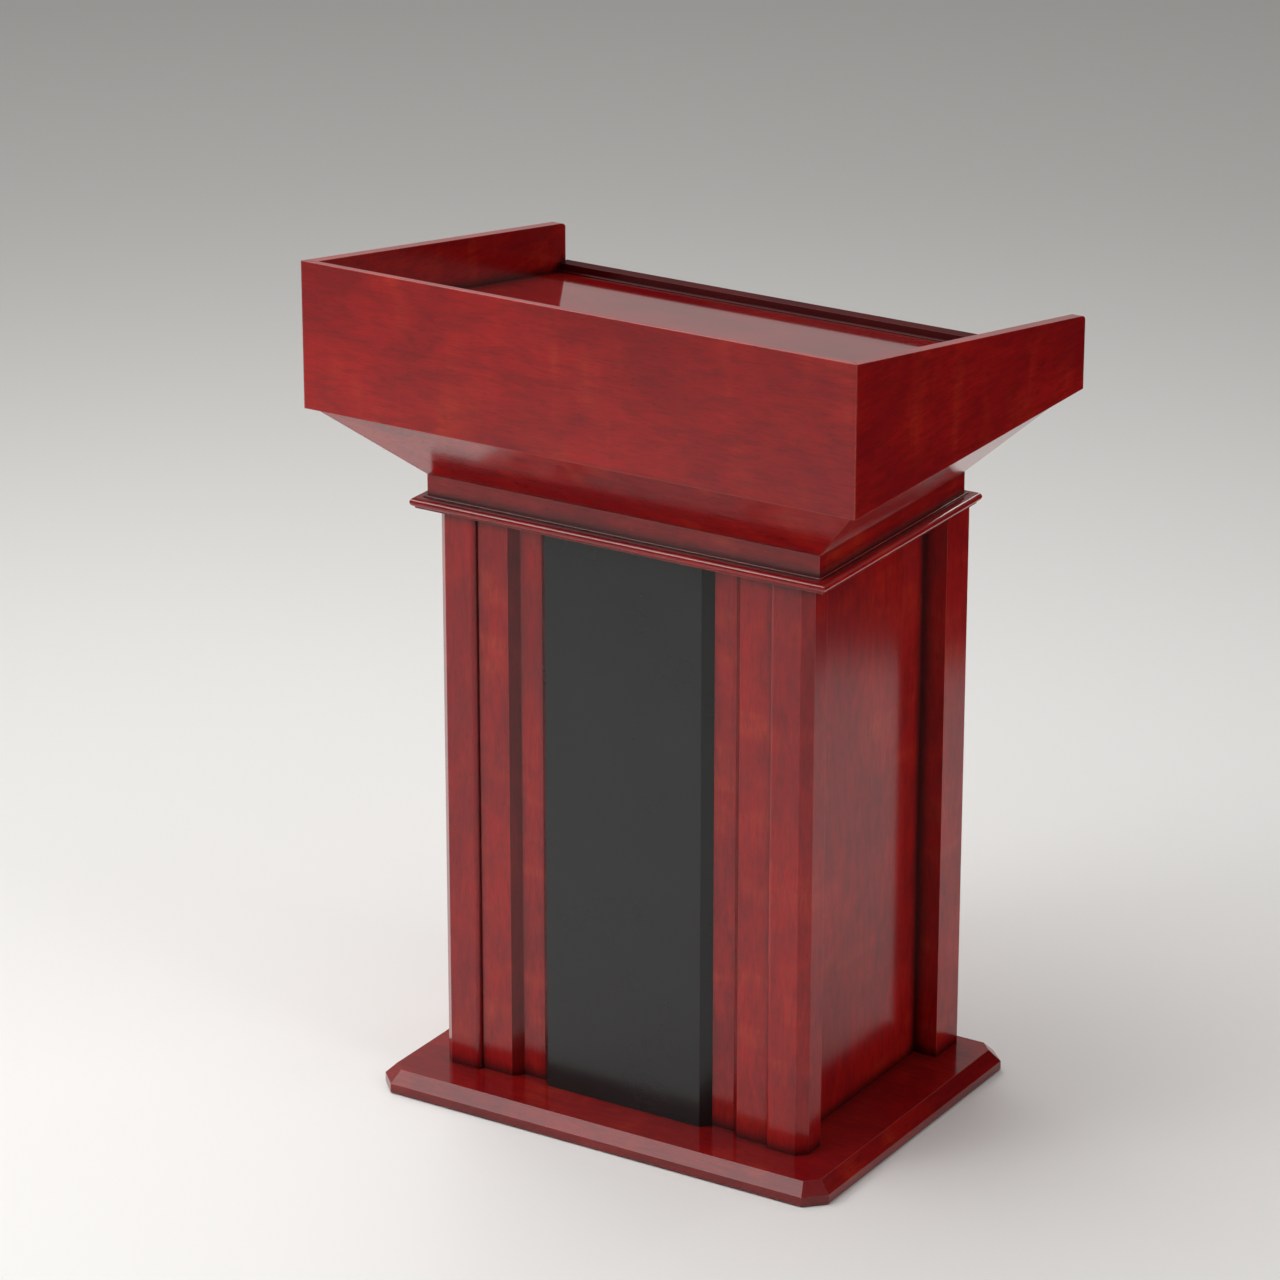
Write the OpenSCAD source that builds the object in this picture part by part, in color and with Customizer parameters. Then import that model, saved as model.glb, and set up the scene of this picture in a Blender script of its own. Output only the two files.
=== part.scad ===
// Speaking lectern in lacquered wood: a wide plinth, a stepped column with a
// cupboard and a drawer on the speaker's side, a flared head and a sloping desk.
// Millimetres. X is the width, -Y faces the audience, +Y faces the speaker,
// Z is up, and the origin is on the floor under the middle of the plinth.

/* [Tray] */
// Width over the two wings
tray_w = 780; // [740:10:820]
// Depth from the front board to the back lip
tray_d = 578; // [560:2:600]
// Height of the front board
tray_front_h = 190; // [170:5:210]
// Height of the wings at the speaker's end
tray_rear_h = 95; // [85:5:105]
// Thickness of the tray boards
tray_board = 15; // [12:1:18]
// Depth of the desk surface below the top of the wings
desk_drop = 65; // [55:1:70]
// Height of the pencil lip above the desk
lip_rise = 12; // [8:1:16]
// Thickness of the pencil lip
lip_t = 18; // [15:1:20]
// Bead along the foot of the pencil lip
lip_bead = 2.5; // [1:0.5:4]

/* [Head] */
// Width of the neck
neck_w = 564; // [556:2:570]
// Depth of the neck
neck_d = 362; // [358:2:366]
// Height of the neck
neck_h = 27; // [22:1:32]
// Height of the moulding
moulding_h = 16; // [14:1:18]
// Reach of the moulding beyond the neck
moulding_reach = 16.5; // [14:0.5:18]
// Height of the flare
flare_h = 98; // [90:1:106]
// Step from the flare back to the tray's outline
flare_inset = 8; // [5:1:12]

/* [Column] */
// Width over the corner posts
column_w = 540; // [536:2:548]
// Height of the column
column_h = 760; // [740:5:780]
// Distance of the front face from the middle
column_front = 181; // [178:1:184]
// Distance of the rear face from the middle
column_rear = 218; // [214:1:222]
// Width of each corner post
post_w = 57; // [54:1:60]
// Depth of the front posts
front_post_d = 42; // [40:1:44]
// Depth of the rear posts
rear_post_d = 56; // [52:1:58]
// Chamfer on the outer corner of the front posts
post_chamfer = 13; // [8:1:15]
// Round on the inner edge of the front posts
post_round = 7; // [5:0.5:8]
// Set-back of the side panels from the posts
side_recess = 33; // [30:1:36]
// Thickness of the column boards
column_board = 15; // [12:1:18]

/* [Front relief] */
// Thickness of the stiles and of the black centre panel
relief_t = 12; // [8:1:14]
// Width of the black centre panel at its foot
centre_w = 251; // [220:1:270]
// Width of each front stile at its foot
stile_w = 56.5; // [50:0.5:64]

/* [Base] */
// Width of the plinth
base_w = 664; // [650:2:700]
// Depth of the plinth
base_d = 500; // [480:2:520]
// Height of the plinth's top above the floor
base_h = 29; // [27:1:34]
// Slope cut round the top of the plinth
base_chamfer = 15; // [10:1:16]
// Clipped corner of the plinth
base_clip = 25; // [20:1:40]
// Thickness of the glides
glide_t = 2; // [2:1:4]

/* [Cupboard] */
// Height of the drawer opening
drawer_open_h = 122; // [118:1:130]
// Height of the rail over the drawer
top_rail_h = 30; // [28:1:40]
// Thickness of the door and of the drawer front
front_t = 18; // [16:1:20]
// Gap round the door and round the drawer front
front_gap = 2; // [2:0.2:3]
// Height of the shelf above the plinth
shelf_up = 301; // [200:1:380]
// Opening of the door, as drawn
door_angle = 0; // [0:5:110]
// Travel of the drawer, as drawn
drawer_travel = 0; // [0:10:250]
// Turn of the lock, as drawn
lock_angle = 0; // [0:5:90]

/* [Hidden] */
$fn = 40;
far = 400;

mahogany = [0.50, 0.11, 0.09];
inner_wood = [0.62, 0.40, 0.24];
black_panel = [0.05, 0.05, 0.05];
steel = [0.72, 0.72, 0.72];
brass = [0.78, 0.62, 0.32];
plastic = [0.10, 0.10, 0.11];

// Levels up the lectern
column_top = base_h + column_h;
cap_top = column_top + moulding_h;
neck_top = cap_top + neck_h;
tray_bottom = neck_top + flare_h;
tray_top = tray_bottom + tray_front_h;
tray_slope = (tray_front_h - tray_rear_h) / tray_d;

// Column plan
post_in = column_w / 2 - post_w;
front_post_back = -column_front + front_post_d;
rear_post_front = column_rear - rear_post_d;
side_out = column_w / 2 - side_recess;
side_in = side_out - column_board;
stile_face = -column_front + post_round;
field_face = stile_face + relief_t;
field_back = field_face + column_board;
front_screw_x = column_w / 2 - post_w / 2;
front_screw_y = -column_front + front_post_d / 2;
rear_screw_y = column_rear - rear_post_d / 2;

// Plinth
glide_d = 26;
glide_inset = 40;
glide_pin = 10;
glide_pin_d = 6;
post_screw_len = 60;
floor_screw_len = 37;
floor_screw_xs = [-120, 120];
floor_screw_ys = [-80, 110];

// Column fixings
panel_screw_x = 80;
panel_screw_inset = 100;
stile_screw_x = post_in - stile_w / 2 + 3;
panel_screw_len = 24;
head_screw_len = 50;
cap_screw_y = neck_d / 2 - 9;

// Head
flare_run = tray_w / 2 - flare_inset - neck_w / 2;
flare_wall = tray_board * sqrt(flare_run * flare_run + flare_h * flare_h) / flare_h;
batten_h = 20;
batten_w = 35;
neck_batten_w = 20;
neck_batten_inset = 60;
neck_batten_y = neck_d / 2 - flare_wall - neck_batten_w / 2;
neck_screw_xs = [-200, 0, 200];
tray_batten_y = neck_d / 2 + flare_run - flare_wall;
tray_screw_y = tray_batten_y - batten_w + 9;
tray_screw_xs = [-250, -90, 90, 250];
tray_screw_len = 30;
batten_lean = batten_h * flare_run / flare_h;

// Tray
desk_t = tray_board * sqrt(1 + tray_slope * tray_slope);
lip_face = tray_d / 2 - lip_t;
wing_round = 14;
wing_foot_round = 3;
wing_end_round = 4;
rib_w = 20;
rib_front = -tray_d / 2 + 40;
rib_back = lip_face - 20;

// Cupboard and drawer
floor_top = base_h + column_board;
rail_bottom = column_top - top_rail_h;
divider_top = rail_bottom - drawer_open_h;
divider_bottom = divider_top - column_board;
front_in = column_rear - front_t;
door_bottom = floor_top + front_gap;
door_top = divider_bottom - front_gap;
drawer_low = divider_top + front_gap;
drawer_high = rail_bottom - front_gap;
shelf_bottom = base_h + shelf_up;
shelf_back_gap = 12;
pin_ys = [-100, 120];
pin_d = 5;
pin_len = 20;
pin_bore = 10;
pin_pitch = 32;

// Drawer box
box_w = 400;
box_board = 12;
box_back = -130;
box_low = divider_top + 12;
box_high = box_low + 90;
bottom_t = 5;
bottom_z = box_low + 6;
groove = 5;
slide_h = 45;
slide_z = box_low + 22;
slide_lip = 2.6;
slide_play = 2;
metal = 1.2;

// Lock
lock_z = drawer_high - 22;
lock_d = 16;
lock_rim_d = 21;
lock_rim = 1.5;
lock_stub = 4;
barrel_d = 11;
barrel_fit = 0.1;
cam_y = front_in - 7;
cam_reach = 30;
cam_t = 2;
cam_w = 13;
tail = 5;
key_w = 1.4;
key_h = 7.2;
key_depth = 12;

// Door hinges: the pin stands just outside the door's face, over the gap
leaf_t = 1;
hinge_gap = 2 * leaf_t + 0.4;
hinge_x = post_in - hinge_gap / 2;
hinge_y = column_rear + 3.2;
barrel_r = 3;
axle_d = 2.6;
pin_fit = 0.05;
hinge_h = 60;
knuckle = hinge_h / 5;
knuckle_gap = 0.3;
hinge_zs = [door_bottom + 70, door_top - 70];
leaf_front = front_in - 2;
leaf_back = column_rear - 0.5;
hinge_screw_y = column_rear - 11;
hinge_screw_dz = 20;
hinge_screw_len = 16;
axle_head = 1.6;

// Knobs
knob_reach = 24;
knob_r = 15.5;
knob_rim_r = 6;
knob_neck_r = 6.5;
knob_foot_r = 9;
knob_foot = 3;
knob_head = 12;
knob_bolt_len = front_t + 12;
door_knob_at = [-180, 430];
drawer_knob_xs = [-105, 105];
drawer_knob_z = (drawer_low + drawer_high) / 2;

// Magnetic catch under the divider, and the studded plate that it pulls on the door
catch_x = -150;
catch_w = 46;
catch_h = 18;
catch_d = 30;
catch_fit = 0.4;
plate_t = 1;
plate_w = 36;
plate_h = 14;
plate_z = door_top - 10;
stud_d = 5;
stud_len = 10;

// ---- Shared shapes ----

// A flat shape given across Y and Z, run along X
module along_x(x0, x1) {
    translate([x0, 0, 0]) rotate([90, 0, 90]) linear_extrude(x1 - x0) children();
}

// A block between two corners
module block(lo, hi) {
    translate(lo) cube(hi - lo);
}

module on_both_sides() {
    children();
    mirror([1, 0, 0]) children();
}

// Countersunk screw, head face at the origin, pointing up
module csk_screw(len, d = 4) {
    cylinder(h = d * 0.55, d1 = d * 1.9, d2 = d);
    cylinder(h = len, d = d);
}

// Pan-head screw, the head below the origin, pointing up
module pan_screw(len, d = 4) {
    translate([0, 0, -2.4]) cylinder(h = 2.4, d = d * 2);
    cylinder(h = len, d = d);
}

// One mitred length of a ring round a rectangular wall. The child is the
// section: first axis outward from the wall, second axis up.
module mitred_length(half_len, half_wall, back, reach) {
    intersection() {
        translate([0, -half_wall, 0]) along_x(-half_len - reach, half_len + reach)
            mirror([1, 0]) children();
        linear_extrude(tray_top) polygon([
            [-half_len + back, -half_wall + back], [half_len - back, -half_wall + back],
            [half_len + reach, -half_wall - reach], [-half_len - reach, -half_wall - reach]]);
    }
}

// Plan of a board that fills the column between the posts and panels
module inner_plan(clear, rear) {
    translate([-side_in + clear, front_post_back + clear])
        square([2 * (side_in - clear), rear_post_front - front_post_back - 2 * clear]);
    translate([-post_in + clear, field_back + clear])
        square([2 * (post_in - clear), rear - field_back - clear]);
}

// ---- Plinth ----

// The plinth's outline is four slabs crossed, each with sloped upper edges
module plinth_shape() {
    hw = base_w / 2;
    hd = base_d / 2;
    diagonal = (hw + hd - base_clip) / sqrt(2);
    intersection_for (cut = [[0, hd], [90, hw], [45, diagonal], [-45, diagonal]])
        rotate([0, 0, cut[0]]) along_x(-2 * far, 2 * far) polygon([
            [-cut[1], glide_t], [cut[1], glide_t], [cut[1], base_h - base_chamfer],
            [cut[1] - base_chamfer, base_h], [-cut[1] + base_chamfer, base_h],
            [-cut[1], base_h - base_chamfer]]);
}

module at_posts(z) {
    for (x = [-front_screw_x, front_screw_x], y = [front_screw_y, rear_screw_y])
        translate([x, y, z]) children();
}

module at_glides() {
    for (x = [-1, 1], y = [-1, 1])
        translate([x * (base_w / 2 - glide_inset), y * (base_d / 2 - glide_inset), 0]) children();
}

module base_screw_set() {
    at_posts(glide_t) csk_screw(post_screw_len, 5);
    for (x = floor_screw_xs, y = floor_screw_ys) translate([x, y, glide_t]) csk_screw(floor_screw_len, 5);
}

module base_plinth() color(mahogany) {
    difference() {
        plinth_shape();
        base_screw_set();
        at_glides() cylinder(h = glide_t + glide_pin, d = glide_pin_d);
    }
}

module base_glides() color(plastic) {
    at_glides() {
        cylinder(h = glide_t, d = glide_d);
        cylinder(h = glide_t + glide_pin, d = glide_pin_d);
    }
}

module base_screws() color(steel) base_screw_set();

// ---- Column ----

// Front post: chamfered outside corner, rounded inside edge
module front_post() color(mahogany) {
    difference() {
        translate([0, 0, base_h]) linear_extrude(column_h) difference() {
            polygon([[post_in, front_post_back], [column_w / 2, front_post_back],
                [column_w / 2, -column_front + post_chamfer],
                [column_w / 2 - post_chamfer, -column_front], [post_in, -column_front]]);
            difference() {
                translate([post_in, -column_front]) square(post_round);
                translate([post_in + post_round, -column_front + post_round]) circle(post_round);
            }
        }
        base_screw_set();
        cap_screw_set();
    }
}

module front_post_right() front_post();

module front_post_left() mirror([1, 0, 0]) front_post();

module rear_post_blank() {
    difference() {
        block([post_in, rear_post_front, base_h], [column_w / 2, column_rear, column_top]);
        base_screw_set();
        cap_screw_set();
    }
}

module rear_post_right() color(mahogany) {
    difference() {
        rear_post_blank();
        frame_screw_set();
    }
}

module rear_post_left() color(mahogany) mirror([1, 0, 0]) rear_post_blank();

module panel_screw_set() {
    for (x = [-stile_screw_x, -panel_screw_x, panel_screw_x, stile_screw_x],
            z = [panel_screw_inset, column_top / 2, column_top - panel_screw_inset])
        translate([x, field_back, z]) rotate([90, 0, 0]) csk_screw(panel_screw_len, 3.5);
}

module front_panel() color(mahogany) {
    difference() {
        block([-post_in, field_face, base_h], [post_in, field_back, column_top]);
        panel_screw_set();
    }
}

// Front stile: inner edge bevelled down to the field
module front_stile() color(mahogany) {
    difference() {
        translate([0, 0, base_h]) linear_extrude(column_h) polygon([
            [post_in, field_face], [post_in, stile_face],
            [post_in - stile_w + relief_t, stile_face], [post_in - stile_w, field_face]]);
        panel_screw_set();
    }
}

module front_stile_right() front_stile();

module front_stile_left() mirror([1, 0, 0]) front_stile();

module centre_panel() color(black_panel) {
    difference() {
        translate([0, 0, base_h]) linear_extrude(column_h) polygon([
            [-centre_w / 2, field_face], [centre_w / 2, field_face],
            [centre_w / 2 - relief_t, stile_face], [-centre_w / 2 + relief_t, stile_face]]);
        panel_screw_set();
    }
}

module panel_screws() color(steel) panel_screw_set();

// Side panel with two rows of holes for the shelf pins
module side_panel() color(mahogany) {
    difference() {
        block([side_in, front_post_back, base_h], [side_out, rear_post_front, column_top]);
        for (y = pin_ys, step = [-2:2])
            translate([side_in, y, shelf_bottom - pin_d / 2 + step * pin_pitch]) rotate([0, 90, 0])
                cylinder(h = 2 * pin_bore, d = pin_d, center = true);
    }
}

module side_panel_right() side_panel();

module side_panel_left() mirror([1, 0, 0]) side_panel();

module cabinet_floor() color(mahogany) {
    difference() {
        translate([0, 0, base_h]) linear_extrude(column_board) inner_plan(0, column_rear);
        base_screw_set();
    }
}

module divider() color(mahogany)
    translate([0, 0, divider_bottom]) linear_extrude(column_board) inner_plan(0, column_rear);

module top_rail() color(mahogany)
    block([-post_in, front_in, rail_bottom], [post_in, column_rear, column_top]);

module cap_screw_set() {
    for (x = [-front_screw_x, front_screw_x], y = [front_screw_y, cap_screw_y])
        translate([x, y, cap_top]) rotate([180, 0, 0]) csk_screw(head_screw_len, 4);
}

module column_cap() color(mahogany) {
    difference() {
        block([-neck_w / 2, -neck_d / 2, column_top], [neck_w / 2, neck_d / 2, cap_top]);
        cap_screw_set();
        neck_screw_set();
    }
}

module head_screws() color(steel) {
    cap_screw_set();
    neck_screw_set();
}

// ---- Head ----

// Moulding section: a lower fillet, a half-round nose and a small top bead
module moulding_section() {
    step = 2;
    nose_r = moulding_h / 2 - step;
    nose_d = moulding_reach - nose_r;
    bead_r = 1.3;
    translate([0, column_top]) square([nose_d + 1, step + 0.4]);
    translate([0, column_top + step]) square([nose_d, 2 * nose_r]);
    translate([nose_d, column_top + step + nose_r]) circle(nose_r);
    translate([0, cap_top - step]) square([2 * bead_r, step]);
    translate([2 * bead_r, cap_top - bead_r]) circle(bead_r);
}

module moulding() color(mahogany) {
    for (turn = [0, 180]) rotate([0, 0, turn])
        mitred_length(neck_w / 2, neck_d / 2, 0, moulding_reach) moulding_section();
    for (turn = [90, 270]) rotate([0, 0, turn])
        mitred_length(neck_d / 2, neck_w / 2, 0, moulding_reach) moulding_section();
}

module neck_screw_set() {
    for (x = neck_screw_xs, side = [-1, 1])
        translate([x, side * neck_batten_y, neck_top + batten_h]) rotate([180, 0, 0])
            csk_screw(head_screw_len, 4);
}

module neck_board() color(mahogany) {
    difference() {
        block([-neck_w / 2, -neck_d / 2, cap_top], [neck_w / 2, neck_d / 2, neck_top]);
        neck_screw_set();
    }
}

// Foot battens: stand on the neck, bevelled to the inside of the flare
module neck_battens() color(inner_wood) {
    half_len = neck_w / 2 - neck_batten_inset;
    wall = neck_d / 2 - flare_wall;
    back = wall - neck_batten_w;
    difference() {
        for (turn = [0, 180]) rotate([0, 0, turn]) along_x(-half_len, half_len) polygon([
            [wall, neck_top], [wall + batten_lean, neck_top + batten_h],
            [back, neck_top + batten_h], [back, neck_top]]);
        neck_screw_set();
    }
}

module flare_section()
    polygon([[0, neck_top], [flare_run, tray_bottom], [flare_run - flare_wall, tray_bottom],
        [-flare_wall, neck_top]]);

module flare_board(half_len, half_wall, turn) color(mahogany)
    rotate([0, 0, turn])
        mitred_length(half_len, half_wall, flare_wall, flare_run) flare_section();

module flare_front() flare_board(neck_w / 2, neck_d / 2, 0);

module flare_rear() flare_board(neck_w / 2, neck_d / 2, 180);

module flare_right() flare_board(neck_d / 2, neck_w / 2, 90);

module flare_left() flare_board(neck_d / 2, neck_w / 2, 270);

// Top battens: under the tray floor, bevelled to the inside of the flare
module tray_screw_set() {
    for (x = tray_screw_xs, side = [-1, 1])
        translate([x, side * tray_screw_y, tray_bottom - batten_h]) csk_screw(tray_screw_len, 4);
}

module tray_battens() color(inner_wood) {
    back = tray_batten_y - batten_w;
    difference() {
        for (turn = [0, 180]) rotate([0, 0, turn]) along_x(-neck_w / 2, neck_w / 2) polygon([
            [tray_batten_y, tray_bottom], [tray_batten_y - batten_lean, tray_bottom - batten_h],
            [back, tray_bottom - batten_h], [back, tray_bottom]]);
        tray_screw_set();
    }
}

module tray_screws() color(steel) tray_screw_set();

// ---- Tray ----

// Height of the wing's top edge, and of the desk surface, at a depth y
function wing_z(y) = tray_top - tray_slope * (y + tray_d / 2);
function desk_z(y) = wing_z(y) - desk_drop;

module tray_floor() color(inner_wood) {
    difference() {
        block([-tray_w / 2 + tray_board, -tray_d / 2 + tray_board, tray_bottom],
            [tray_w / 2 - tray_board, lip_face, tray_bottom + tray_board]);
        tray_screw_set();
    }
}

module tray_front() color(mahogany) {
    half = tray_w / 2;
    front = -tray_d / 2;
    intersection() {
        along_x(-half, half) polygon([[front, tray_bottom], [front, wing_z(front)],
            [front + tray_board, wing_z(front + tray_board)], [front + tray_board, tray_bottom]]);
        linear_extrude(2 * tray_top) polygon([[-half, front], [half, front],
            [half - tray_board, front + tray_board], [-half + tray_board, front + tray_board]]);
    }
}

// Points round a centre, from one angle to another
function arc(centre, r, from, to, steps) = [for (i = [0:steps])
    let (a = from + i * (to - from) / steps) centre + r * [cos(a), sin(a)]];

// Wing: the top slopes down to the speaker, where its corners and edges are rounded
module wing() color(mahogany) {
    out = tray_w / 2;
    in = out - tray_board;
    end = tray_d / 2;
    lean = atan(tray_slope);
    top_centre = [end - wing_round, wing_z(end - wing_round) - wing_round / cos(lean)];
    foot_centre = [end - wing_foot_round, tray_bottom + wing_foot_round];
    end_y = end - wing_end_round;
    intersection() {
        along_x(in, out) polygon(concat([[-end, tray_bottom]],
            arc(foot_centre, wing_foot_round, -90, 0, 3), arc(top_centre, wing_round, 0, 90 - lean, 8),
            [[-end, wing_z(-end)]]));
        linear_extrude(2 * tray_top) polygon(concat([[in, -end + tray_board], [out, -end]],
            arc([out - wing_end_round, end_y], wing_end_round, 0, 90, 6),
            arc([in + wing_end_round, end_y], wing_end_round, 90, 180, 6)));
    }
}

module wing_right() wing();

module wing_left() mirror([1, 0, 0]) wing();

// Wedge-shaped ribs that carry the desk
module desk_ribs() color(inner_wood) {
    foot = tray_bottom + tray_board;
    for (x = [-tray_w / 2 + tray_board, -rib_w / 2, tray_w / 2 - tray_board - rib_w])
        along_x(x, x + rib_w) polygon([
            [rib_front, foot], [rib_front, desk_z(rib_front) - desk_t],
            [rib_back, desk_z(rib_back) - desk_t], [rib_back, foot]]);
}

module desk_board() color(mahogany) {
    front = -tray_d / 2 + tray_board;
    along_x(-tray_w / 2 + tray_board, tray_w / 2 - tray_board) polygon([
        [front, desk_z(front) - desk_t], [front, desk_z(front)],
        [lip_face, desk_z(lip_face)], [lip_face, desk_z(lip_face) - desk_t]]);
}

// Back board of the tray: its top stands above the desk as the pencil lip, with a
// bead along its foot on the desk
module back_lip() color(mahogany) {
    desk = desk_z(lip_face);
    along_x(-tray_w / 2 + tray_board, tray_w / 2 - tray_board) polygon(concat([
        [lip_face, tray_bottom], [tray_d / 2, tray_bottom], [tray_d / 2, desk + lip_rise],
        [lip_face, desk + lip_rise]],
        arc([lip_face, desk], lip_bead, 90, 180 - atan(tray_slope), 6), [[lip_face, desk]]));
}

// ---- Inside the cupboard ----

module shelf() color(mahogany)
    translate([0, 0, shelf_bottom]) linear_extrude(column_board) inner_plan(1, front_in - shelf_back_gap);

module shelf_pins() color(steel) {
    for (y = pin_ys) on_both_sides()
        translate([side_in - pin_len + pin_bore, y, shelf_bottom - pin_d / 2]) rotate([0, 90, 0])
            cylinder(h = pin_len, d = pin_d);
}

module slide_spacers() color(inner_wood) on_both_sides()
    block([post_in, front_post_back, slide_z - 1], [side_in, rear_post_front, slide_z + slide_h + 1]);

// Fixed channel of each drawer slide
module slide_cabinet() color(steel) on_both_sides() {
    y0 = box_back - 2;
    y1 = front_in - 4;
    inner = box_w / 2 + slide_lip;
    block([post_in - metal, y0, slide_z], [post_in, y1, slide_z + slide_h]);
    block([inner, y0, slide_z], [post_in - metal, y1, slide_z + metal]);
    block([inner, y0, slide_z + slide_h - metal], [post_in - metal, y1, slide_z + slide_h]);
}

// ---- Hinges ----

// Knuckles of one leaf: the leaf's own places along the pin
module knuckles(places, z) {
    for (i = places) translate([hinge_x, hinge_y, z - hinge_h / 2 + i * knuckle + knuckle_gap / 2])
        difference() {
            cylinder(h = knuckle - knuckle_gap, r = barrel_r);
            translate([0, 0, -1]) cylinder(h = knuckle + 2, d = axle_d + 2 * pin_fit);
        }
}

module leaf(x0, places) {
    for (z = hinge_zs) difference() {
        union() {
            foot = z - hinge_h / 2;
            block([x0, leaf_front, foot], [x0 + leaf_t, leaf_back, z + hinge_h / 2]);
            for (i = places) block(
                [x0, leaf_back - 0.5, foot + i * knuckle + knuckle_gap / 2],
                [x0 + leaf_t, hinge_y - axle_d / 2 - 0.6, foot + (i + 1) * knuckle - knuckle_gap / 2]);
            knuckles(places, z);
        }
        translate([hinge_x, hinge_y, z - hinge_h]) cylinder(h = 2 * hinge_h, d = axle_d + 2 * pin_fit);
    }
}

module hinge_screw_set(x, way) {
    for (z = hinge_zs, dz = [-hinge_screw_dz, hinge_screw_dz]) translate([x, hinge_screw_y, z + dz])
        rotate([0, way * 90, 0]) csk_screw(hinge_screw_len, 3);
}

module frame_screw_set() hinge_screw_set(post_in - leaf_t, 1);

module door_screw_set() hinge_screw_set(post_in - hinge_gap + leaf_t, -1);

module hinge_frame_leaves() color(brass) {
    difference() {
        leaf(post_in - leaf_t, [0, 2, 4]);
        frame_screw_set();
    }
}

module hinge_door_leaves() color(brass) {
    difference() {
        leaf(post_in - hinge_gap, [1, 3]);
        door_screw_set();
    }
}

module hinge_pins() color(brass) {
    for (z = hinge_zs) translate([hinge_x, hinge_y, z - hinge_h / 2]) {
        cylinder(h = hinge_h, d = axle_d);
        translate([0, 0, -axle_head]) cylinder(h = axle_head, r = barrel_r);
        translate([0, 0, hinge_h]) cylinder(h = axle_head, r = barrel_r);
    }
}

module hinge_frame_screws() color(steel) frame_screw_set();

module hinge_door_screws() color(steel) door_screw_set();

// ---- Drawer ----

module drawer_knob_set() {
    for (x = drawer_knob_xs) translate([x, front_in, drawer_knob_z]) rotate([-90, 0, 0])
        pan_screw(knob_bolt_len);
}

module lock_shape(d, extra) {
    translate([0, front_in - extra, lock_z]) rotate([-90, 0, 0]) cylinder(h = front_t + extra, d = d);
}

module drawer_front() color(mahogany) {
    difference() {
        block([-post_in + front_gap, front_in, drawer_low], [post_in - front_gap, column_rear, drawer_high]);
        drawer_knob_set();
        lock_shape(lock_d, 1);
    }
}

module drawer_side() color(inner_wood) {
    difference() {
        block([box_w / 2 - box_board, box_back, box_low], [box_w / 2, front_in, box_high]);
        block([box_w / 2 - box_board - 1, box_back - 1, bottom_z],
            [box_w / 2 - box_board + groove, front_in + 1, bottom_z + bottom_t]);
    }
}

module drawer_side_right() drawer_side();

module drawer_side_left() mirror([1, 0, 0]) drawer_side();

module drawer_back() color(inner_wood)
    block([-box_w / 2 + box_board, box_back, bottom_z + bottom_t],
        [box_w / 2 - box_board, box_back + box_board, box_high]);

module drawer_bottom() color(inner_wood)
    block([-box_w / 2 + box_board - groove, box_back, bottom_z],
        [box_w / 2 - box_board + groove, front_in, bottom_z + bottom_t]);

// Moving member of each drawer slide, inside the fixed channel
module slide_drawer() color(steel) on_both_sides() {
    y1 = front_in - 6;
    x0 = box_w / 2;
    x1 = post_in - metal - slide_play - 0.5;
    z0 = slide_z + metal + slide_play;
    z1 = slide_z + slide_h - metal - slide_play;
    block([x0, box_back, z0], [x0 + metal, y1, z1]);
    block([x0 + metal, box_back, z0], [x1, y1, z0 + metal]);
    block([x0 + metal, box_back, z1 - metal], [x1, y1, z1]);
}

// Turned knob with its foot on the face, pointing +Y
module knob() {
    rotate([-90, 0, 0]) difference() {
        rotate_extrude() {
            square([knob_neck_r, knob_reach - knob_rim_r]);
            square([knob_foot_r, knob_foot]);
            translate([0, knob_reach - knob_head]) square([knob_r - knob_rim_r, knob_head]);
            translate([knob_r - knob_rim_r, knob_reach - knob_rim_r]) circle(knob_rim_r);
        }
        translate([0, 0, -1]) cylinder(h = knob_bolt_len - front_t + 1, d = 4);
    }
}

module drawer_knobs() color(brass)
    for (x = drawer_knob_xs) translate([x, column_rear, drawer_knob_z]) knob();

module drawer_knob_screws() color(steel) drawer_knob_set();

module lock_housing() color(steel) {
    difference() {
        union() {
            lock_shape(lock_d, lock_stub);
            translate([0, column_rear, lock_z]) rotate([-90, 0, 0]) cylinder(h = lock_rim, d = lock_rim_d);
        }
        translate([0, front_in - lock_stub - 1, lock_z]) rotate([-90, 0, 0])
            cylinder(h = front_t + lock_stub + lock_rim + 2, d = barrel_d + barrel_fit);
    }
}

// Lock barrel: key slot in its face, a square tail that carries the cam
module lock_barrel() color(steel) {
    face = column_rear + lock_rim + 0.5;
    foot = front_in - lock_stub - 0.5;
    difference() {
        union() {
            translate([0, foot, lock_z]) rotate([-90, 0, 0]) cylinder(h = face - foot, d = barrel_d);
            block([-tail / 2, cam_y - 1, lock_z - tail / 2], [tail / 2, foot, lock_z + tail / 2]);
        }
        block([-key_w / 2, face - key_depth, lock_z - key_h / 2], [key_w / 2, face + 1, lock_z + key_h / 2]);
    }
}

module lock_cam() color(steel) {
    difference() {
        union() {
            translate([0, cam_y, lock_z]) rotate([-90, 0, 0]) cylinder(h = cam_t, d = cam_w);
            block([-cam_reach, cam_y, lock_z - cam_w / 2], [0, cam_y + cam_t, lock_z + cam_w / 2]);
        }
        block([-tail / 2, cam_y - 1, lock_z - tail / 2], [tail / 2, cam_y + cam_t + 1, lock_z + tail / 2]);
    }
}

// ---- Door ----

module door_knob_bolt() {
    translate([door_knob_at[0], front_in, door_knob_at[1]]) rotate([-90, 0, 0])
        pan_screw(knob_bolt_len);
}

module door() color(mahogany) {
    difference() {
        block([-post_in + front_gap, front_in, door_bottom], [post_in - hinge_gap, column_rear, door_top]);
        door_knob_bolt();
        door_screw_set();
        catch_stud();
    }
}

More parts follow.
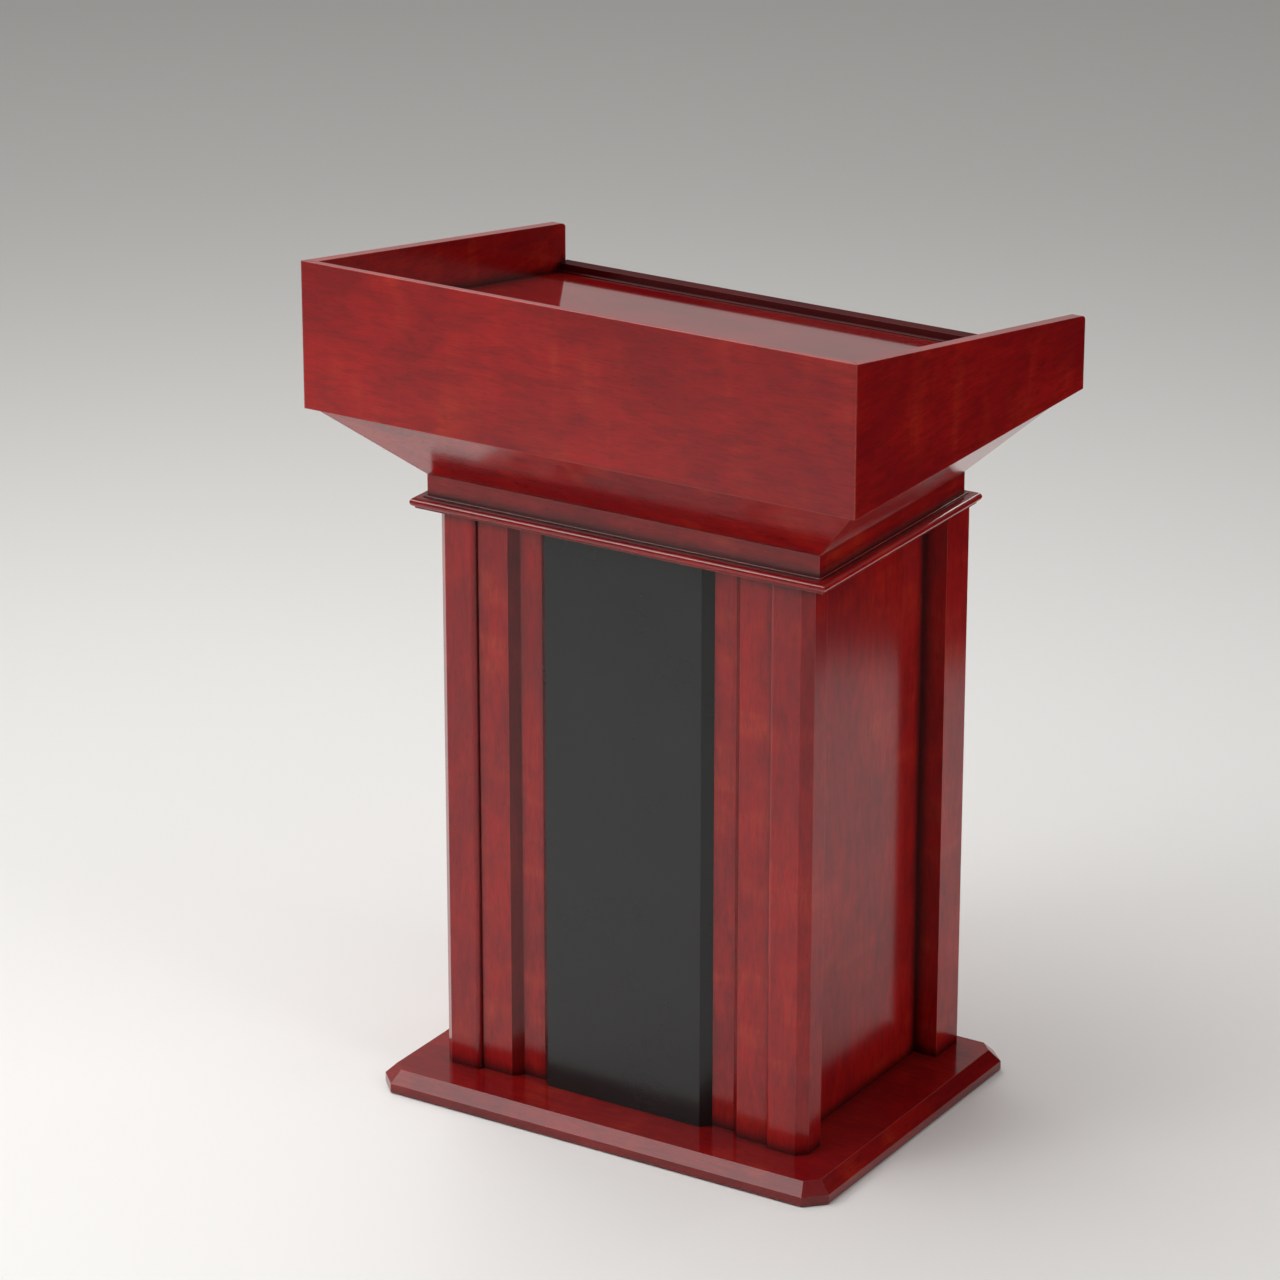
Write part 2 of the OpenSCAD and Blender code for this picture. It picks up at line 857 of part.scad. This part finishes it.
module door_knob() color(brass)
    translate([door_knob_at[0], column_rear, door_knob_at[1]]) knob();

module door_knob_screw() color(steel) door_knob_bolt();

module catch_stud() {
    translate([catch_x, front_in, plate_z]) rotate([-90, 0, 0]) cylinder(h = stud_len, d = stud_d);
}

module catch_body() color(plastic)
    block([catch_x - catch_w / 2, front_in - catch_d, divider_bottom - catch_h],
        [catch_x + catch_w / 2, front_in - plate_t - catch_fit, divider_bottom]);

module catch_plate() color(steel) {
    block([catch_x - plate_w / 2, front_in - plate_t, plate_z - plate_h / 2],
        [catch_x + plate_w / 2, front_in, plate_z + plate_h / 2]);
    catch_stud();
}

// ---- Assembly, opened as far as the view values say ----

module on_drawer() translate([0, drawer_travel, 0]) children();

module on_lock() on_drawer()
    translate([0, 0, lock_z]) rotate([0, lock_angle, 0]) translate([0, 0, -lock_z]) children();

module on_door() translate([hinge_x, hinge_y, 0]) rotate([0, 0, -door_angle])
    translate([-hinge_x, -hinge_y, 0]) children();

base_plinth();
base_glides();
base_screws();
front_post_left();
front_post_right();
rear_post_left();
rear_post_right();
front_panel();
front_stile_left();
front_stile_right();
centre_panel();
panel_screws();
side_panel_left();
side_panel_right();
cabinet_floor();
divider();
top_rail();
column_cap();
head_screws();
moulding();
neck_board();
neck_battens();
flare_front();
flare_rear();
flare_left();
flare_right();
tray_battens();
tray_screws();
tray_floor();
tray_front();
wing_left();
wing_right();
desk_ribs();
desk_board();
back_lip();
shelf();
shelf_pins();
slide_spacers();
slide_cabinet();
hinge_frame_leaves();
hinge_pins();
hinge_frame_screws();
catch_body();
on_drawer() drawer_front();
on_drawer() drawer_side_left();
on_drawer() drawer_side_right();
on_drawer() drawer_back();
on_drawer() drawer_bottom();
on_drawer() slide_drawer();
on_drawer() drawer_knobs();
on_drawer() drawer_knob_screws();
on_drawer() lock_housing();
on_lock() lock_barrel();
on_lock() lock_cam();
on_door() door();
on_door() door_knob();
on_door() door_knob_screw();
on_door() catch_plate();
on_door() hinge_door_leaves();
on_door() hinge_door_screws();
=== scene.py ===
"""Speaking lectern in red mahogany lacquer: its finishes, floor, light and camera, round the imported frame.

Metres, +Z up, the audience at -Y and the speaker at +Y.
"""
import math

import bpy
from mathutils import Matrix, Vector


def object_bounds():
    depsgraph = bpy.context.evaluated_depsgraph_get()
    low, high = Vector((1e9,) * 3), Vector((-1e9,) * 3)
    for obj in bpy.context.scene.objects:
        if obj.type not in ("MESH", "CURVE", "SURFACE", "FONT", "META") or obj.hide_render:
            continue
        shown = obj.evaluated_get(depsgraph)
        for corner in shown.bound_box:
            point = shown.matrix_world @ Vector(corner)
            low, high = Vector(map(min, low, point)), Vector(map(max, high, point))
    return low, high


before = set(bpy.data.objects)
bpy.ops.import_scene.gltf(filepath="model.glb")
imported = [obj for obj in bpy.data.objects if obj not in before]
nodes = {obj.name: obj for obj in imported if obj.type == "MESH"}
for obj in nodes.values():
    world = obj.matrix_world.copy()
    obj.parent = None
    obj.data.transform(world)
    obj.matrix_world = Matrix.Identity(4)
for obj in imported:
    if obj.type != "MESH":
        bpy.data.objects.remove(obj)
cad_low, cad_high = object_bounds()

MM = 0.001

# The camera: where it looks, from which side, and how far off it stands
AIM = Vector((-0.0825, 0.0, 0.5921))
VIEW_AZIMUTH = 31.81
VIEW_ELEVATION = 21.01
VIEW_DISTANCE = 6.667
LENS_MM = 147.6
SENSOR_MM = 36.0

# The red boards: material name, grain, nodes, and what sets that finish apart. The
# grain of the boards that go round the column runs along each of its sides.
RED_BOARDS = [
    ("mahogany_x", "x", ["flare_front", "flare_rear", "tray_front", "top_rail", "drawer_front", "divider",
                         "cabinet_floor", "shelf"], {}),
    ("mahogany_y", "y", ["flare_left", "flare_right"], {}),
    ("mahogany_z", "z", ["front_post_left", "front_post_right", "rear_post_left", "rear_post_right",
                         "front_panel", "side_panel_left", "side_panel_right", "door"], {}),
    ("mahogany_round", "round", ["neck_board", "column_cap"], {}),
    # The desk, base, lip and wings are shaded copies of the red boards: painted shade darkens each of them.
    ("desk_mahogany", "x", ["desk_board"], {"coat_roughness": 0.08, "painted_shade": 0.40}),
    ("base_mahogany", "round", ["base_plinth"], {"coat_roughness": 0.13, "corners": 0.55, "painted_shade": 0.38}),
    ("lip_mahogany", "x", ["back_lip"], {"painted_shade": 0.88, "unshaded_rear": True, "coat": 0.3}),
    ("wing_mahogany", "y", ["wing_left", "wing_right"], {"painted_shade": 0.16}),
    ("stile_mahogany", "z", ["front_stile_left", "front_stile_right"], {"dark_bevels": 0.55}),
    ("moulding_mahogany", "round", ["moulding"], {"coat_roughness": 0.07}),
]
# The plywood: material name, grain, nodes, and the axis across the sheet
PLYWOOD = [
    ("birch_ply_side", "y", ["drawer_side_left", "drawer_side_right"], "X"),
    ("birch_ply_back", "x", ["drawer_back"], "Y"),
    ("birch_ply_sheet", "x", ["drawer_bottom", "tray_floor"], "Z"),
]
# The pine: material name, grain and nodes
PINE = [
    ("pine_x", "x", ["neck_battens", "tray_battens"]),
    ("pine_y", "y", ["desk_ribs", "slide_spacers"]),
]
ZINC = ["base_screws", "panel_screws", "head_screws", "tray_screws", "shelf_pins", "slide_cabinet",
        "slide_drawer", "hinge_frame_screws", "hinge_door_screws", "drawer_knob_screws",
        "door_knob_screw", "catch_plate", "lock_cam"]
NICKEL = ["lock_housing", "lock_barrel"]
BRASS = ["hinge_frame_leaves", "hinge_door_leaves", "hinge_pins", "drawer_knobs", "door_knob"]
PLASTIC = ["base_glides", "catch_body"]

# Two plies of the plywood
PLY_PAIR = 2.4 * MM


def rgb(red, green, blue):
    """A linear colour."""
    return (red, green, blue, 1.0)


# The red boards: two stains, the figure and the marks in it, the worn arrises, the dark of painted shade and
# bevels
STAIN_DEEP = rgb(0.275, 0.0050, 0.0075)
STAIN_BRIGHT = rgb(0.430, 0.0090, 0.0075)
STAIN_RIBBON = rgb(0.54, 0.040, 0.012)
STAIN_FLECK = rgb(0.17, 0.005, 0.006)
STAIN_FIBRE = rgb(0.12, 0.003, 0.004)
STAIN_PORE = rgb(0.07, 0.002, 0.003)
STAIN_WORN = rgb(0.58, 0.100, 0.065)
PAINTED_SHADE_AND_BEVEL_DARK = rgb(0.022, 0.0010, 0.0016)
# The pale woods: early and late wood
BIRCH_EARLY = rgb(0.56, 0.40, 0.245)
BIRCH_LATE = rgb(0.46, 0.31, 0.175)
PINE_EARLY = rgb(0.60, 0.42, 0.22)
PINE_LATE = rgb(0.42, 0.25, 0.11)
PALE_FIBRE = rgb(0.22, 0.12, 0.06)
PLY_EDGE = rgb(0.27, 0.15, 0.075)

# Rounding of the arrises
WOOD_ARRIS = 0.9 * MM
METAL_ARRIS = 0.15 * MM

# The black screen: where its middle stands, its size and its turn
FLAG_AT = (1.11, 1.28, 0.46)
FLAG_SIZE = (2.2, 0.86)
FLAG_TURN = -32

FLOOR_RADIUS = 16.0

# The lamps: name, azimuth and elevation in degrees, distance, width and height in metres, watts, colour
LAMPS = [
    ("ceiling", -54, 61, 3.4, 4.0, 3.4, 110, (1.0, 1.0, 1.0)),
    ("window", -36, 28, 3.8, 1.3, 0.8, 25, (1.0, 0.99, 0.97)),
    ("far_side", 85, 35, 4.0, 1.8, 1.8, 40, (1.0, 1.0, 1.0)),
    ("back_wash", -130, 48, 6.5, 3.0, 3.0, 65, (1.0, 1.0, 1.0)),
    ("rear_lamp", 159, 32, 4.2, 0.6, 0.4, 7, (1.0, 1.0, 1.0)),
]

# The light from all round: its colour, its brighter side, and its strength on either side
ROOM_COLOUR = (1.0, 0.975, 0.95, 1.0)
ROOM_BRIGHT_SIDE = (-0.87, 0.5, 0.0)
ROOM_DIM = 0.14
ROOM_BRIGHT = 0.42


# ---- Materials ----


class Finish:
    """A node material being built on its Principled shader."""

    def __init__(self, name, constants):
        self.material = bpy.data.materials.new(name)
        self.material.use_nodes = True
        self.tree = self.material.node_tree
        self.shader = self.tree.nodes["Principled BSDF"]
        for socket, value in constants.items():
            self.shader.inputs[socket].default_value = value

    def node(self, kind, inputs, output=0, **settings):
        """Adds a shader node and returns one output. inputs maps a socket to a value or to an output."""
        made = self.tree.nodes.new("ShaderNode" + kind)
        for setting, value in settings.items():
            setattr(made, setting, value)
        for socket, value in inputs.items():
            if isinstance(value, bpy.types.NodeSocket):
                self.tree.links.new(value, made.inputs[socket])
            else:
                made.inputs[socket].default_value = value
        return made.outputs[output]

    def maths(self, operation, a, b=0.0):
        return self.node("Math", {0: a, 1: b}, operation=operation)

    def vector(self, operation, a, b):
        return self.node("VectorMath", {0: a, 1: b}, operation=operation)

    def noise(self, point, stretch, detail=2.0, roughness=0.5, distortion=0.0):
        """Noise whose waves per metre along the three axes are stretch."""
        return self.node("TexNoise", {
            "Vector": self.vector("MULTIPLY", point, stretch), "Scale": 1.0, "Detail": detail,
            "Roughness": roughness, "Distortion": distortion})

    def ramp(self, value, start, end, low=0.0, high=1.0):
        """value between start and end, turned smoothly into low to high."""
        return self.node("MapRange", {"Value": value, "From Min": start, "From Max": end,
                                      "To Min": low, "To Max": high}, interpolation_type="SMOOTHSTEP")

    def mix(self, factor, a, b, blend="MIX"):
        """Colour a blended to b by factor."""
        return self.node("Mix", {0: factor, 6: a, 7: b}, output=2, data_type="RGBA", blend_type=blend)

    def bump(self, height, distance, strength=1.0):
        return self.node("Bump", {"Height": height, "Distance": distance, "Strength": strength})

    def place(self, output="Object"):
        """The point on the piece in its own coordinates, or its surface direction if output is Normal."""
        return self.node("TexCoord", {}, output=output)

    def split(self, vector):
        """The X, Y and Z of a vector."""
        made = self.tree.nodes.new("ShaderNodeSeparateXYZ")
        self.tree.links.new(vector, made.inputs[0])
        return made.outputs

    def show(self, socket, value):
        self.tree.links.new(value, self.shader.inputs[socket])


def direction(azimuth, elevation):
    """The unit way from the lectern towards that side, in degrees; azimuth 0 is the audience's side."""
    turn = math.radians(azimuth)
    rise = math.radians(elevation)
    return Vector((math.sin(turn) * math.cos(rise), -math.cos(turn) * math.cos(rise), math.sin(rise)))


def grain_point(finish, grain):
    """The place on the board as (along the grain, across, across), shifted by the board's own seed."""
    seed = finish.node("Attribute", {}, output="Fac", attribute_type="OBJECT", attribute_name="board_seed")
    shift = finish.node("CombineXYZ", {
        "X": seed, "Y": finish.maths("MULTIPLY", seed, 2.3), "Z": finish.maths("MULTIPLY", seed, 3.7)})
    x, y, z = finish.split(finish.place())
    along_x = finish.node("CombineXYZ", {"X": x, "Y": y, "Z": z})
    along_y = finish.node("CombineXYZ", {"X": y, "Y": x, "Z": z})
    along_z = finish.node("CombineXYZ", {"X": z, "Y": x, "Z": y})
    turned = {"x": along_x, "y": along_y, "z": along_z}
    if grain == "round":
        facing = finish.split(finish.place("Normal"))
        on_side = finish.maths(
            "GREATER_THAN", finish.maths("ABSOLUTE", facing["X"]),
            finish.maths("ADD", finish.maths("ABSOLUTE", facing["Y"]), 0.01))
        chosen = finish.node("Mix", {0: on_side, 4: along_x, 5: along_y}, output=1, data_type="VECTOR")
    else:
        chosen = turned[grain]
    return finish.vector("ADD", chosen, shift)


def arris(finish, radius):
    """1 along the edges within radius, 0 on the flats."""
    rounded = finish.node("Bevel", {"Radius": radius}, samples=4)
    true = finish.node("NewGeometry", {}, output="True Normal")
    turn = finish.node("VectorMath", {0: rounded, 1: true}, output="Value", operation="DOT_PRODUCT")
    return finish.ramp(turn, 0.985, 0.86)


def mahogany(name, grain, coat_roughness=0.17, corners=0.96, painted_shade=0.0, dark_bevels=0.0, unshaded_rear=False,
             coat=1.0):
    """Red-stained mahogany veneer under lacquer: cloudy stain, ribbon figure, fibres and dark pores.

    Painted shade darkens the occluded inner corners and recesses, by corners; painted_shade lays painted
    shade over the whole board, except on the faces towards the rear if unshaded_rear. dark_bevels darkens
    upright faces at 45 degrees.
    """
    finish = Finish(name, {"Specular IOR Level": 0.0, "Coat Weight": coat, "Coat IOR": 1.5,
                           "Coat Roughness": coat_roughness})
    point = grain_point(finish, grain)
    cloud = finish.ramp(finish.noise(point, (6, 9, 9), 3.0, 0.55, 0.4), 0.30, 0.70)
    ribbon = finish.ramp(finish.noise(point, (24, 7, 7), 2.0, 0.5, 0.3), 0.45, 0.78)
    fleck = finish.noise(point, (22, 105, 105), 4.0, 0.6, 0.6)
    fibre = finish.noise(point, (34, 460, 460), 3.0, 0.65)
    pore = finish.ramp(finish.noise(point, (70, 1000, 1000), 1.0), 0.58, 0.74)

    stain = finish.mix(cloud, STAIN_DEEP, STAIN_BRIGHT)
    ember = finish.maths("MULTIPLY", finish.maths("MULTIPLY", ribbon, cloud), 0.60)
    stain = finish.mix(ember, stain, STAIN_RIBBON)
    stain = finish.mix(finish.ramp(fleck, 0.42, 0.66, 0.0, 0.42), stain, STAIN_FLECK)
    stain = finish.mix(finish.ramp(fibre, 0.30, 0.70, 0.30, 0.0), stain, STAIN_FIBRE)
    stain = finish.mix(finish.maths("MULTIPLY", pore, 0.45), stain, STAIN_PORE)
    worn = finish.maths("MULTIPLY", arris(finish, 2.0 * MM),
                        finish.ramp(finish.noise(point, (35, 90, 90), 2.0), 0.30, 0.62, 0.30, 0.75))
    stain = finish.mix(worn, stain, STAIN_WORN)
    # Painted shade: the stain is darkened where the board is occluded, in inner corners and recesses.
    openness = finish.node("AmbientOcclusion", {"Distance": 20 * MM}, output="AO", samples=6)
    corner_shade_mask = finish.ramp(openness, 0.54, 0.985, corners, 0.0)
    facing = finish.split(finish.place("Normal"))
    # Painted shade over the whole board, left off the faces towards the rear when unshaded_rear is set.
    if unshaded_rear:
        painted_shade = finish.ramp(facing["Y"], 0.4, 0.8, painted_shade, 0.0)
    shade_and_bevel_darkening = finish.maths("MAXIMUM", corner_shade_mask, painted_shade)
    if dark_bevels > 0:
        slant = finish.maths("ABSOLUTE", finish.maths("MULTIPLY", facing["X"], facing["Y"]))
        shade_and_bevel_darkening = finish.maths("MAXIMUM", shade_and_bevel_darkening, finish.ramp(slant, 0.3, 0.45, 0.0, dark_bevels))
    # Mixes in the dark colour: painted shade, and the darker bevels.
    stain = finish.mix(shade_and_bevel_darkening, stain, PAINTED_SHADE_AND_BEVEL_DARK)
    finish.show("Base Color", stain)
    finish.show("Roughness", finish.ramp(fibre, 0.2, 0.8, 0.38, 0.55))
    grooves = finish.maths("SUBTRACT", finish.maths("MULTIPLY", fibre, 0.4), pore)
    finish.show("Normal", finish.bump(grooves, 0.04 * MM))
    lacquer = finish.maths("ADD", finish.noise(point, (110, 110, 110), 2.0),
                           finish.maths("MULTIPLY", grooves, 0.06))
    finish.show("Coat Normal", finish.bump(lacquer, 0.02 * MM))
    return finish.material


def satin_black():
    """Satin black paint on the centre panel, with faint roller texture."""
    finish = Finish("black_satin", {"IOR": 1.5})
    place = finish.place()
    cloud = finish.noise(place, (6, 6, 6), 3.0)
    finish.show("Base Color", finish.mix(cloud, rgb(0.0085, 0.0088, 0.0095), rgb(0.0125, 0.0128, 0.0135)))
    peel = finish.noise(place, (160, 160, 160), 2.0)
    finish.show("Roughness", finish.ramp(finish.noise(place, (14, 14, 14), 4.0), 0.3, 0.7, 0.22, 0.28))
    finish.show("Normal", finish.bump(peel, 0.010 * MM))
    return finish.material


def pale_wood(name, grain, early, late, plies=None):
    """Sealed pale wood. In plywood, plies is the axis across the sheet, and the edges show the plies."""
    finish = Finish(name, {"IOR": 1.48})
    point = grain_point(finish, grain)
    rings = finish.noise(point, (1.6, 55, 55), 4.0, 0.6, 0.8)
    fibre = finish.noise(point, (20, 700, 700), 3.0, 0.6)
    colour = finish.mix(finish.ramp(rings, 0.35, 0.65), early, late)
    colour = finish.mix(finish.ramp(fibre, 0.3, 0.75, 0.25, 0.0), colour, PALE_FIBRE)
    if plies is not None:
        through = finish.split(finish.place())[plies]
        facing = finish.split(finish.place("Normal"))[plies]
        layer = finish.maths("FRACT", finish.maths("MULTIPLY", through, 1 / PLY_PAIR))
        on_edge = finish.maths("LESS_THAN", finish.maths("ABSOLUTE", facing), 0.5)
        dark = finish.maths("MULTIPLY", on_edge, finish.ramp(layer, 0.46, 0.54, 0.0, 0.75))
        colour = finish.mix(dark, colour, PLY_EDGE)
    finish.show("Base Color", colour)
    finish.show("Roughness", finish.ramp(fibre, 0.2, 0.8, 0.42, 0.60))
    finish.show("Normal", finish.bump(fibre, 0.05 * MM))
    return finish.material


def metal(name, colour, tarnish, roughness, scratches):
    """Metal with a cloudy tarnish and fine scratches; scratches is their waves per metre."""
    finish = Finish(name, {"Metallic": 1.0})
    place = finish.place()
    cloud = finish.noise(place, (90, 90, 90), 4.0, 0.6)
    lines = finish.noise(place, scratches, 2.0, 0.6)
    shade = finish.mix(finish.ramp(cloud, 0.35, 0.75, 0.0, 0.45), colour, tarnish)
    worn = finish.maths("MULTIPLY", arris(finish, 0.5 * MM), 0.6)
    finish.show("Base Color", finish.mix(worn, shade, rgb(*[min(1.0, 1.25 * c) for c in colour[:3]])))
    rough = finish.maths("ADD", finish.ramp(cloud, 0.3, 0.8, roughness, roughness + 0.14),
                         finish.ramp(lines, 0.3, 0.8, -0.04, 0.06))
    finish.show("Roughness", rough)
    finish.show("Normal", finish.bump(lines, 0.006 * MM))
    return finish.material


def moulded_plastic():
    """Black moulded plastic with a fine spark-eroded skin."""
    finish = Finish("black_plastic", {"IOR": 1.46})
    place = finish.place()
    skin = finish.noise(place, (2200, 2200, 2200), 2.0)
    finish.show("Base Color", finish.mix(skin, rgb(0.012, 0.012, 0.013), rgb(0.022, 0.022, 0.024)))
    finish.show("Roughness", finish.ramp(skin, 0.2, 0.8, 0.42, 0.58))
    finish.show("Normal", finish.bump(skin, 0.02 * MM))
    return finish.material


def paint(names, material):
    """Gives these nodes that material and nothing else."""
    for name in names:
        slots = nodes[name].data.materials
        slots.clear()
        slots.append(material)


def finish_all():
    for count, name in enumerate(sorted(nodes)):
        nodes[name]["board_seed"] = 0.37 * count
    for name, grain, boards, settings in RED_BOARDS:
        paint(boards, mahogany(name, grain, **settings))
    paint(["centre_panel"], satin_black())
    for name, grain, sheets, plies in PLYWOOD:
        paint(sheets, pale_wood(name, grain, BIRCH_EARLY, BIRCH_LATE, plies))
    for name, grain, sticks in PINE:
        paint(sticks, pale_wood(name, grain, PINE_EARLY, PINE_LATE))
    paint(ZINC, metal("zinc_plate", rgb(0.58, 0.60, 0.63), rgb(0.40, 0.42, 0.44), 0.26, (300, 900, 300)))
    paint(NICKEL, metal("nickel", rgb(0.66, 0.62, 0.55), rgb(0.50, 0.46, 0.40), 0.14, (1500, 200, 1500)))
    paint(BRASS, metal("brass", rgb(0.72, 0.48, 0.17), rgb(0.42, 0.25, 0.08), 0.16, (60, 3500, 60)))
    paint(PLASTIC, moulded_plastic())


# ---- Edges ----


def round_arrises(names, width, segments):
    """Welds each node's faces together and rounds its edges, without moving the flats."""
    for name in names:
        weld = nodes[name].modifiers.new("weld", "WELD")
        weld.merge_threshold = 0.002 * MM
        flats = nodes[name].modifiers.new("flats", "DECIMATE")
        flats.decimate_type = "DISSOLVE"
        flats.angle_limit = math.radians(0.5)
        bevel = nodes[name].modifiers.new("arris", "BEVEL")
        bevel.width = width
        bevel.segments = segments
        bevel.limit_method = "ANGLE"
        bevel.angle_limit = math.radians(28)
        bevel.use_clamp_overlap = True
        bevel.harden_normals = False
        shade = nodes[name].modifiers.new("shade", "WEIGHTED_NORMAL")
        shade.mode = "FACE_AREA_WITH_ANGLE"
        shade.keep_sharp = True


# ---- Stage ----


def pale_floor():
    """A pale, faintly glossy floor that falls off to grey far from the lectern: painted shade, a pool of
    light painted round it.
    """
    bpy.ops.mesh.primitive_circle_add(vertices=96, radius=FLOOR_RADIUS, fill_type="NGON",
                                      location=(0, 0, 0))
    floor = bpy.context.object
    floor.name = "floor"
    finish = Finish("pale_floor", {"Specular IOR Level": 0.25, "Roughness": 0.42})
    place = finish.place()
    away = finish.node("VectorMath", {0: place}, output="Value", operation="LENGTH")
    # Painted falloff of light: the floor colour goes grey with distance from the lectern.
    finish.show("Base Color", finish.mix(finish.ramp(away, 1.2, 4.5), rgb(0.82, 0.815, 0.80),
                                         rgb(0.62, 0.61, 0.595)))
    floor.data.materials.append(finish.material)


def black_flag():
    """A black screen out of sight at the back right: keeps the far floor out of the wing's lacquer."""
    bpy.ops.mesh.primitive_plane_add(size=1.0, location=FLAG_AT)
    flag = bpy.context.object
    flag.name = "black_flag"
    flag.scale = (*FLAG_SIZE, 1.0)
    flag.rotation_euler = (math.radians(90), 0, math.radians(FLAG_TURN))
    finish = Finish("flag_cloth", {"Base Color": rgb(0.004, 0.004, 0.004), "Roughness": 1.0,
                                   "Specular IOR Level": 0.0})
    flag.data.materials.append(finish.material)
    flag.visible_camera = False
    flag.visible_diffuse = False
    flag.visible_shadow = False


def softbox(name, azimuth, elevation, distance, width, height, watts, colour):
    """A soft area light that looks at the lectern from that side."""
    light = bpy.data.lights.new(name, "AREA")
    light.shape = "RECTANGLE"
    light.size = width
    light.size_y = height
    light.energy = watts
    light.color = colour
    lamp = bpy.data.objects.new(name, light)
    bpy.context.scene.collection.objects.link(lamp)
    away = direction(azimuth, elevation)
    lamp.location = (cad_low + cad_high) / 2 + away * distance
    lamp.rotation_mode = "QUATERNION"
    lamp.rotation_quaternion = away.to_track_quat("Z", "Y")
    lamp.visible_camera = False


def room_light():
    """Soft light from all round, brighter from the back left, and the soft lamps."""
    world = bpy.data.worlds.new("room")
    bpy.context.scene.world = world
    world.use_nodes = True
    tree = world.node_tree
    sky = tree.nodes["Background"]
    way = tree.nodes.new("ShaderNodeTexCoord")
    towards = tree.nodes.new("ShaderNodeVectorMath")
    towards.operation = "DOT_PRODUCT"
    towards.inputs[1].default_value = ROOM_BRIGHT_SIDE
    tree.links.new(way.outputs["Generated"], towards.inputs[0])
    glow = tree.nodes.new("ShaderNodeMapRange")
    glow.interpolation_type = "SMOOTHSTEP"
    glow_range = {"From Min": -0.6, "From Max": 0.8, "To Min": ROOM_DIM, "To Max": ROOM_BRIGHT}
    for socket, value in glow_range.items():
        glow.inputs[socket].default_value = value
    tree.links.new(towards.outputs["Value"], glow.inputs["Value"])
    tree.links.new(glow.outputs["Result"], sky.inputs["Strength"])
    sky.inputs["Color"].default_value = ROOM_COLOUR
    for lamp in LAMPS:
        softbox(*lamp)


def camera():
    lens = bpy.data.cameras.new("camera")
    lens.lens = LENS_MM
    lens.sensor_width = SENSOR_MM
    lens.clip_end = 60.0
    stand = bpy.data.objects.new("camera", lens)
    bpy.context.scene.collection.objects.link(stand)
    away = direction(VIEW_AZIMUTH, VIEW_ELEVATION)
    stand.location = AIM + away * VIEW_DISTANCE
    stand.rotation_mode = "QUATERNION"
    stand.rotation_quaternion = away.to_track_quat("Z", "Y")
    bpy.context.scene.camera = stand


finish_all()
wooden = [name for row in RED_BOARDS + PLYWOOD + PINE for name in row[2]]
round_arrises(wooden + ["centre_panel"], WOOD_ARRIS, 3)
round_arrises(ZINC + NICKEL + BRASS + PLASTIC, METAL_ARRIS, 2)
pale_floor()
black_flag()
room_light()
camera()
bpy.context.scene.view_settings.view_transform = "Standard"
